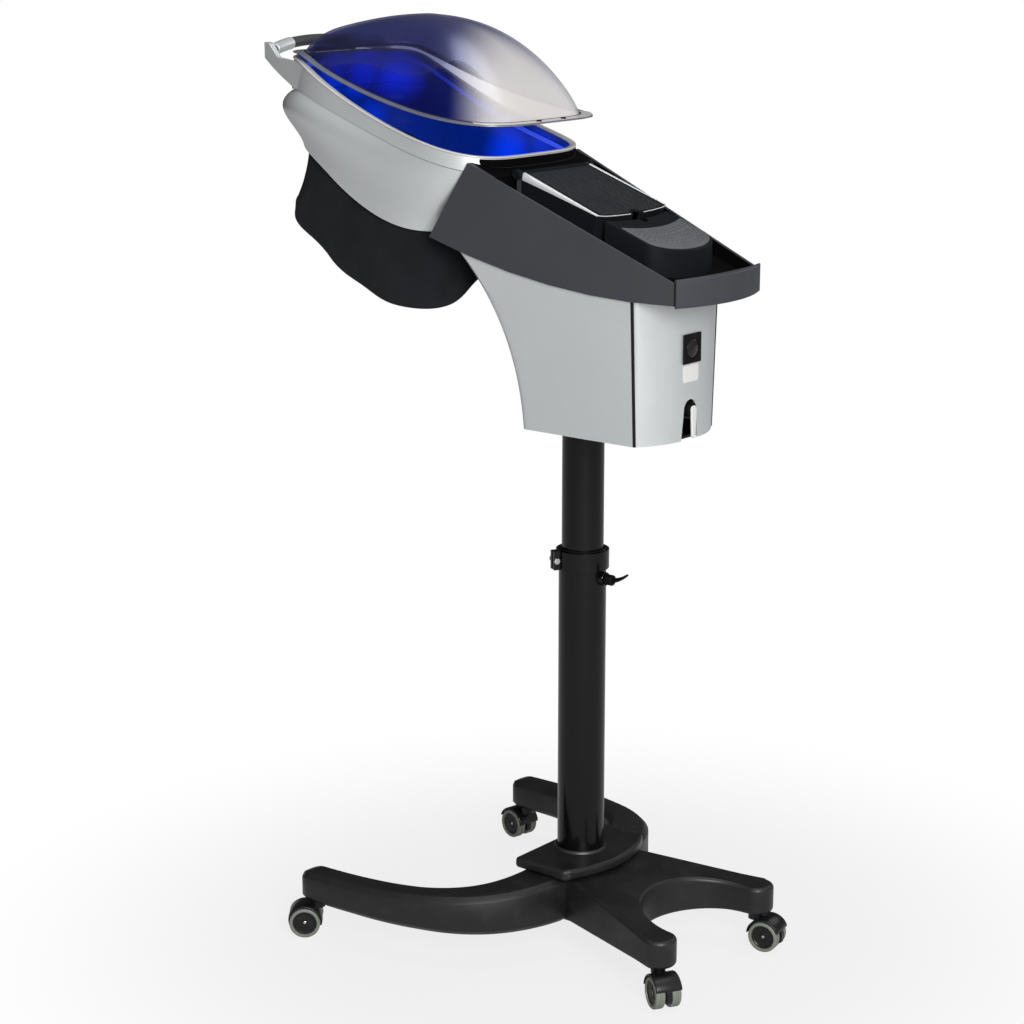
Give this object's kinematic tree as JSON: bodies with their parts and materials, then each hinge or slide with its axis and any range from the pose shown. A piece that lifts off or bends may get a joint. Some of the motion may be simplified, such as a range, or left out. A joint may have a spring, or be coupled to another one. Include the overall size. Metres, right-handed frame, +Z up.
{
  "type": "hair steamer",
  "caption": "Free-standing salon hair steamer: hood with a clear hinged lid and neck curtain on a steam housing, height-adjustable column and castor base.",
  "frame": {"origin": "on the floor, on the axis of the column", "axes": "+Z up along the column, -Y towards the client and the hood, +Y towards the controls, +X to the object's own left"},
  "size_m": [0.6198, 0.8696, 1.4627],
  "materials": {
    "base_black": "finely textured satin black moulding",
    "tube_black": "satin black paint",
    "black_plastic": "satin black",
    "castor_black": "semi-gloss black",
    "tyre_grey": "grey tread with black discs",
    "steel": "bright steel",
    "silver_plastic": "satin metallic silver",
    "slate_plastic": "satin dark slate",
    "keypad_grey": "matt film",
    "white_plastic": "satin white",
    "blue_liner": "glossy vivid blue",
    "smoky_clear": "clear, lightly smoked",
    "curtain_black": "dark woven cloth",
    "board_green": "printed circuit board"
  },
  "bodies": {
    "base": {"base_fork": "base_black", "base_arm_left": "base_black", "base_arm_right": "base_black", "hub_cover": "base_black", "foot_ring": "steel", "outer_tube": "tube_black", "clamp_collar": "tube_black", "guide_bush": "black_plastic", "castor_stem_front_left": "steel", "castor_stem_front_right": "steel", "castor_stem_rear_left": "steel", "castor_stem_rear_right": "steel"},
    "mast": {"inner_tube": "tube_black"},
    "head": {"column_socket": "steel", "floor_plate": "tube_black", "housing_shell": "silver_plastic", "rear_panel": "silver_plastic", "cowl": "slate_plastic", "rear_grip": "slate_plastic", "control_plinth": "black_plastic", "keypad": "keypad_grey", "control_board": "board_green", "switch_bezel": "black_plastic", "drain_valve": "black_plastic", "cable_gland": "black_plastic", "water_tank": "white_plastic", "boiler": "steel", "steam_duct": "black_plastic", "steam_nozzle": "white_plastic", "cover_hinge_pin": "steel", "hood_band": "silver_plastic", "hood_shell": "silver_plastic", "hood_liner": "blue_liner", "rim_trim": "silver_plastic", "light_strip": "white_plastic", "handle_grip": "slate_plastic", "dome_hinge_pin": "steel", "neck_curtain": "curtain_black"},
    "cover": {"tank_cover": "black_plastic", "cover_trim": "silver_plastic"},
    "lid": {"dome": "smoky_clear"},
    "rocker": {"power_rocker": "black_plastic"},
    "drain": {"drain_lever": "white_plastic"},
    "lock": {"lock_lever": "black_plastic"},
    "castor_front_left": {"castor_hood_front_left": "castor_black", "castor_axle_front_left": "steel"},
    "wheel_front_left_left": {"castor_wheel_front_left_left": "tyre_grey"},
    "wheel_front_left_right": {"castor_wheel_front_left_right": "tyre_grey"},
    "castor_front_right": {"castor_hood_front_right": "castor_black", "castor_axle_front_right": "steel"},
    "wheel_front_right_left": {"castor_wheel_front_right_left": "tyre_grey"},
    "wheel_front_right_right": {"castor_wheel_front_right_right": "tyre_grey"},
    "castor_rear_left": {"castor_hood_rear_left": "castor_black", "castor_axle_rear_left": "steel"},
    "wheel_rear_left_left": {"castor_wheel_rear_left_left": "tyre_grey"},
    "wheel_rear_left_right": {"castor_wheel_rear_left_right": "tyre_grey"},
    "castor_rear_right": {"castor_hood_rear_right": "castor_black", "castor_axle_rear_right": "steel"},
    "wheel_rear_right_left": {"castor_wheel_rear_right_left": "tyre_grey"},
    "wheel_rear_right_right": {"castor_wheel_rear_right_right": "tyre_grey"}
  },
  "joints": [
    {"name": "castor_swivel_front_left", "type": "hinge", "parent": "base", "child": "castor_front_left", "pos_m": [0.272, -0.328, 0.055], "axis": [0, 0, 1], "continuous": true},
    {"name": "wheel_spin_front_left_left", "type": "hinge", "parent": "castor_front_left", "child": "wheel_front_left_left", "pos_m": [0.28522, -0.34432, 0.025], "axis": [0.7771, 0.6293, 0], "continuous": true},
    {"name": "wheel_spin_front_left_right", "type": "hinge", "parent": "castor_front_left", "child": "wheel_front_left_right", "pos_m": [0.28522, -0.34432, 0.025], "axis": [0.7771, 0.6293, 0], "continuous": true},
    {"name": "castor_swivel_front_right", "type": "hinge", "parent": "base", "child": "castor_front_right", "pos_m": [-0.272, -0.328, 0.055], "axis": [0, 0, 1], "continuous": true},
    {"name": "wheel_spin_front_right_left", "type": "hinge", "parent": "castor_front_right", "child": "wheel_front_right_left", "pos_m": [-0.27565, -0.34868, 0.025], "axis": [0.9848, -0.1736, 0], "continuous": true},
    {"name": "wheel_spin_front_right_right", "type": "hinge", "parent": "castor_front_right", "child": "wheel_front_right_right", "pos_m": [-0.27565, -0.34868, 0.025], "axis": [0.9848, -0.1736, 0], "continuous": true},
    {"name": "castor_swivel_rear_left", "type": "hinge", "parent": "base", "child": "castor_rear_left", "pos_m": [0.134, 0.252, 0.055], "axis": [0, 0, 1], "continuous": true},
    {"name": "wheel_spin_rear_left_left", "type": "hinge", "parent": "castor_rear_left", "child": "wheel_rear_left_left", "pos_m": [0.14513, 0.26981, 0.025], "axis": [-0.848, 0.5299, 0], "continuous": true},
    {"name": "wheel_spin_rear_left_right", "type": "hinge", "parent": "castor_rear_left", "child": "wheel_rear_left_right", "pos_m": [0.14513, 0.26981, 0.025], "axis": [-0.848, 0.5299, 0], "continuous": true},
    {"name": "castor_swivel_rear_right", "type": "hinge", "parent": "base", "child": "castor_rear_right", "pos_m": [-0.134, 0.252, 0.055], "axis": [0, 0, 1], "continuous": true},
    {"name": "wheel_spin_rear_right_left", "type": "hinge", "parent": "castor_rear_right", "child": "wheel_rear_right_left", "pos_m": [-0.13765, 0.27268, 0.025], "axis": [-0.9848, -0.1736, 0], "continuous": true},
    {"name": "wheel_spin_rear_right_right", "type": "hinge", "parent": "castor_rear_right", "child": "wheel_rear_right_right", "pos_m": [-0.13765, 0.27268, 0.025], "axis": [-0.9848, -0.1736, 0], "continuous": true},
    {"name": "height_slide", "type": "slide", "parent": "base", "child": "mast", "axis": [0, 0, 1], "range_m": [-0.15, 0.1]},
    {"name": "head_swivel", "type": "hinge", "parent": "mast", "child": "head", "pos_m": [0, 0, 0.85], "axis": [0, 0, 1], "continuous": true},
    {"name": "lock_turn", "type": "hinge", "parent": "base", "child": "lock", "pos_m": [0, 0.06, 0.605], "axis": [0, 1, 0], "range_deg": [-60, 120]},
    {"name": "cover_hinge", "type": "hinge", "parent": "head", "child": "cover", "pos_m": [0, -0.0605, 1.23627], "axis": [1, 0, 0], "range_deg": [0, 75]},
    {"name": "lid_hinge", "type": "hinge", "parent": "head", "child": "lid", "pos_m": [0, -0.516, 1.40183], "axis": [1, 0, 0], "range_deg": [-6.1, 75]},
    {"name": "power_rock", "type": "hinge", "parent": "head", "child": "rocker", "pos_m": [0, 0.2006, 0.989], "axis": [1, 0, 0], "range_deg": [-8, 8]},
    {"name": "drain_turn", "type": "hinge", "parent": "head", "child": "drain", "pos_m": [0, 0.2045, 0.896], "axis": [0, 1, 0], "range_deg": [0, 90]}
  ]
}
